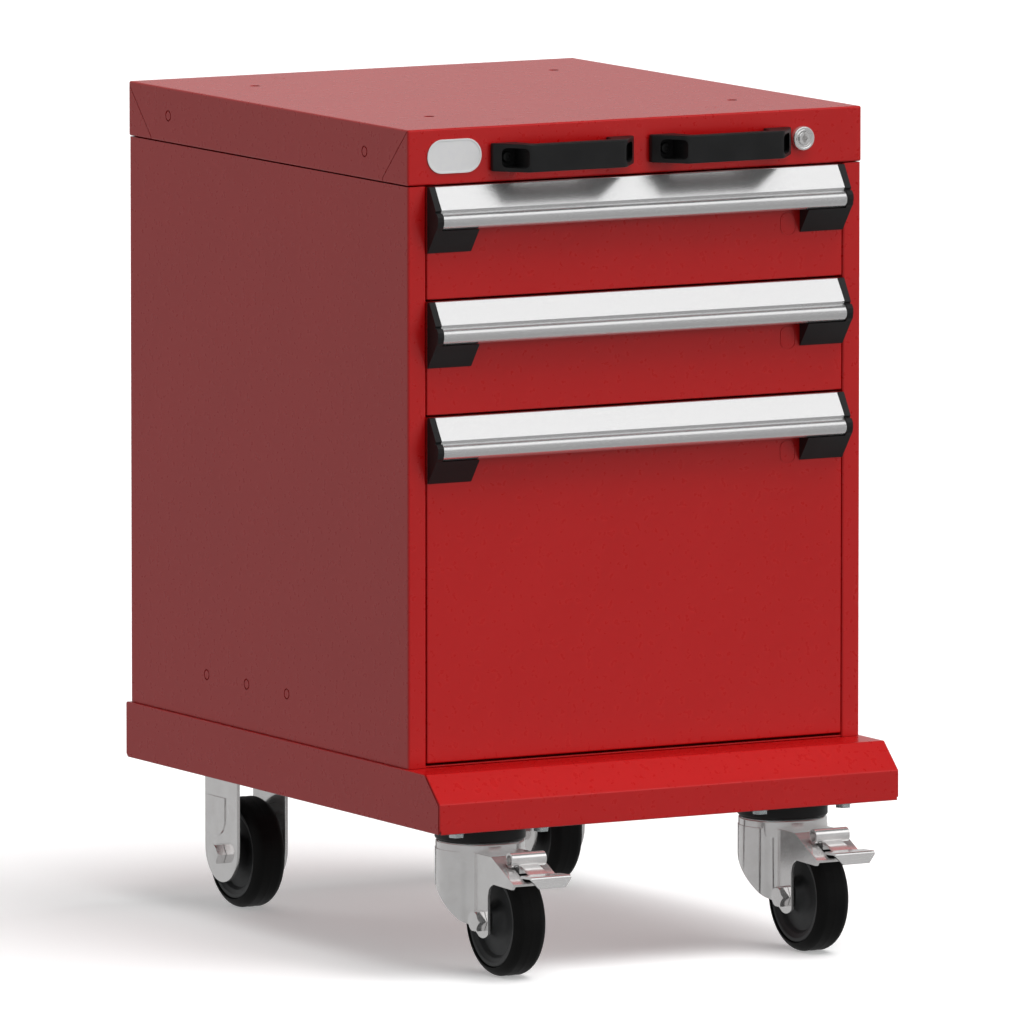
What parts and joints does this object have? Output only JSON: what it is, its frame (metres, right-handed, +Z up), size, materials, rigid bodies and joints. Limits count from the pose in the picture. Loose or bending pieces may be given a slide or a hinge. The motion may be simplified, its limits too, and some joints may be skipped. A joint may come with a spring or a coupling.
{
  "type": "mobile drawer cabinet",
  "caption": "Mobile workbench cabinet of folded sheet steel with full-width drawers, push handles on its lid, a lock, and braked swivel and rigid casters.",
  "frame": {"origin": "on the floor, under the middle of the object's bounding box, casters and brake pedals included", "axes": "+X to the right seen from the front, +Y from the drawer fronts to the back, +Z up"},
  "size_m": [0.4646, 0.6472, 0.7446],
  "materials": {
    "red_paint": "glossy powder coat with a fine texture",
    "inner_steel": "galvanised",
    "aluminium": "brushed and anodised",
    "black_plastic": "moulded, fine grain",
    "grey_nylon": "moulded, satin",
    "tyre_rubber": "matt",
    "zinc": "zinc plated",
    "chrome": "polished zinc",
    "blank_label": "satin"
  },
  "bodies": {
    "cabinet": {"top_cover": "red_paint", "left_side_panel": "red_paint", "right_side_panel": "red_paint", "back_panel": "red_paint", "bottom_panel": "red_paint", "base_tray": "red_paint", "front_caster_channel": "red_paint", "rear_caster_channel": "red_paint", "left_push_handle": "black_plastic", "right_push_handle": "black_plastic", "blank_plate": "blank_label", "lock_housing": "zinc", "bottom_drawer_left_rail": "inner_steel", "bottom_drawer_right_rail": "inner_steel", "middle_drawer_left_rail": "inner_steel", "middle_drawer_right_rail": "inner_steel", "top_drawer_left_rail": "inner_steel", "top_drawer_right_rail": "inner_steel", "front_left_plate": "zinc", "front_right_plate": "zinc", "rear_left_bracket": "chrome", "rear_right_bracket": "chrome", "rear_left_axle": "zinc", "rear_right_axle": "zinc"},
    "top_drawer": {"top_drawer_box": "inner_steel", "top_drawer_front": "red_paint", "top_drawer_handle": "aluminium", "top_drawer_left_cap": "black_plastic", "top_drawer_right_cap": "black_plastic"},
    "middle_drawer": {"middle_drawer_box": "inner_steel", "middle_drawer_front": "red_paint", "middle_drawer_handle": "aluminium", "middle_drawer_left_cap": "black_plastic", "middle_drawer_right_cap": "black_plastic"},
    "bottom_drawer": {"bottom_drawer_box": "inner_steel", "bottom_drawer_front": "red_paint", "bottom_drawer_handle": "aluminium", "bottom_drawer_left_cap": "black_plastic", "bottom_drawer_right_cap": "black_plastic"},
    "lock": {"lock_barrel": "zinc", "lock_cam": "inner_steel"},
    "lock_bar": {"lock_bar": "inner_steel"},
    "front_left_swivel": {"front_left_fork": "chrome", "front_left_dust_ring": "black_plastic", "front_left_axle": "zinc"},
    "front_left_wheel": {"front_left_hub": "grey_nylon", "front_left_tyre": "tyre_rubber"},
    "front_left_pedal": {"front_left_brake_pedal": "chrome"},
    "rear_left_wheel": {"rear_left_hub": "grey_nylon", "rear_left_tyre": "tyre_rubber"},
    "front_right_swivel": {"front_right_fork": "chrome", "front_right_dust_ring": "black_plastic", "front_right_axle": "zinc"},
    "front_right_wheel": {"front_right_hub": "grey_nylon", "front_right_tyre": "tyre_rubber"},
    "front_right_pedal": {"front_right_brake_pedal": "chrome"},
    "rear_right_wheel": {"rear_right_hub": "grey_nylon", "rear_right_tyre": "tyre_rubber"}
  },
  "joints": [
    {"name": "top_drawer_slide", "type": "slide", "parent": "cabinet", "child": "top_drawer", "axis": [0, -1, 0], "range_m": [0, 0.4]},
    {"name": "middle_drawer_slide", "type": "slide", "parent": "cabinet", "child": "middle_drawer", "axis": [0, -1, 0], "range_m": [0, 0.4]},
    {"name": "bottom_drawer_slide", "type": "slide", "parent": "cabinet", "child": "bottom_drawer", "axis": [0, -1, 0], "range_m": [0, 0.4]},
    {"name": "lock_turn", "type": "hinge", "parent": "cabinet", "child": "lock", "pos_m": [0.168, -0.1994, 0.7189], "axis": [0, 1, 0], "range_deg": [0, 90]},
    {"name": "lock_bar_slide", "type": "slide", "parent": "cabinet", "child": "lock_bar", "axis": [0, 0, -1], "range_m": [0, 0.0095]},
    {"name": "front_left_swivel_turn", "type": "hinge", "parent": "cabinet", "child": "front_left_swivel", "pos_m": [-0.1535, -0.1934, 0.05], "axis": [0, 0, 1], "continuous": true},
    {"name": "front_left_wheel_spin", "type": "hinge", "parent": "front_left_swivel", "child": "front_left_wheel", "pos_m": [-0.1535, -0.2394, 0.05], "axis": [1, 0, 0], "continuous": true},
    {"name": "front_left_pedal_press", "type": "hinge", "parent": "front_left_swivel", "child": "front_left_pedal", "pos_m": [-0.1535, -0.2764, 0.1073], "axis": [1, 0, 0], "range_deg": [0, 12]},
    {"name": "rear_left_wheel_spin", "type": "hinge", "parent": "cabinet", "child": "rear_left_wheel", "pos_m": [-0.1535, 0.2406, 0.05], "axis": [1, 0, 0], "continuous": true},
    {"name": "front_right_swivel_turn", "type": "hinge", "parent": "cabinet", "child": "front_right_swivel", "pos_m": [0.1535, -0.1934, 0.05], "axis": [0, 0, 1], "continuous": true},
    {"name": "front_right_wheel_spin", "type": "hinge", "parent": "front_right_swivel", "child": "front_right_wheel", "pos_m": [0.1535, -0.2394, 0.05], "axis": [1, 0, 0], "continuous": true},
    {"name": "front_right_pedal_press", "type": "hinge", "parent": "front_right_swivel", "child": "front_right_pedal", "pos_m": [0.1535, -0.2764, 0.1073], "axis": [1, 0, 0], "range_deg": [0, 12]},
    {"name": "rear_right_wheel_spin", "type": "hinge", "parent": "cabinet", "child": "rear_right_wheel", "pos_m": [0.1535, 0.2406, 0.05], "axis": [1, 0, 0], "continuous": true}
  ],
  "couplings": [
    {"joint": "lock_bar_slide", "follows": "lock_turn", "m_per_rad": 0.0057296}
  ]
}
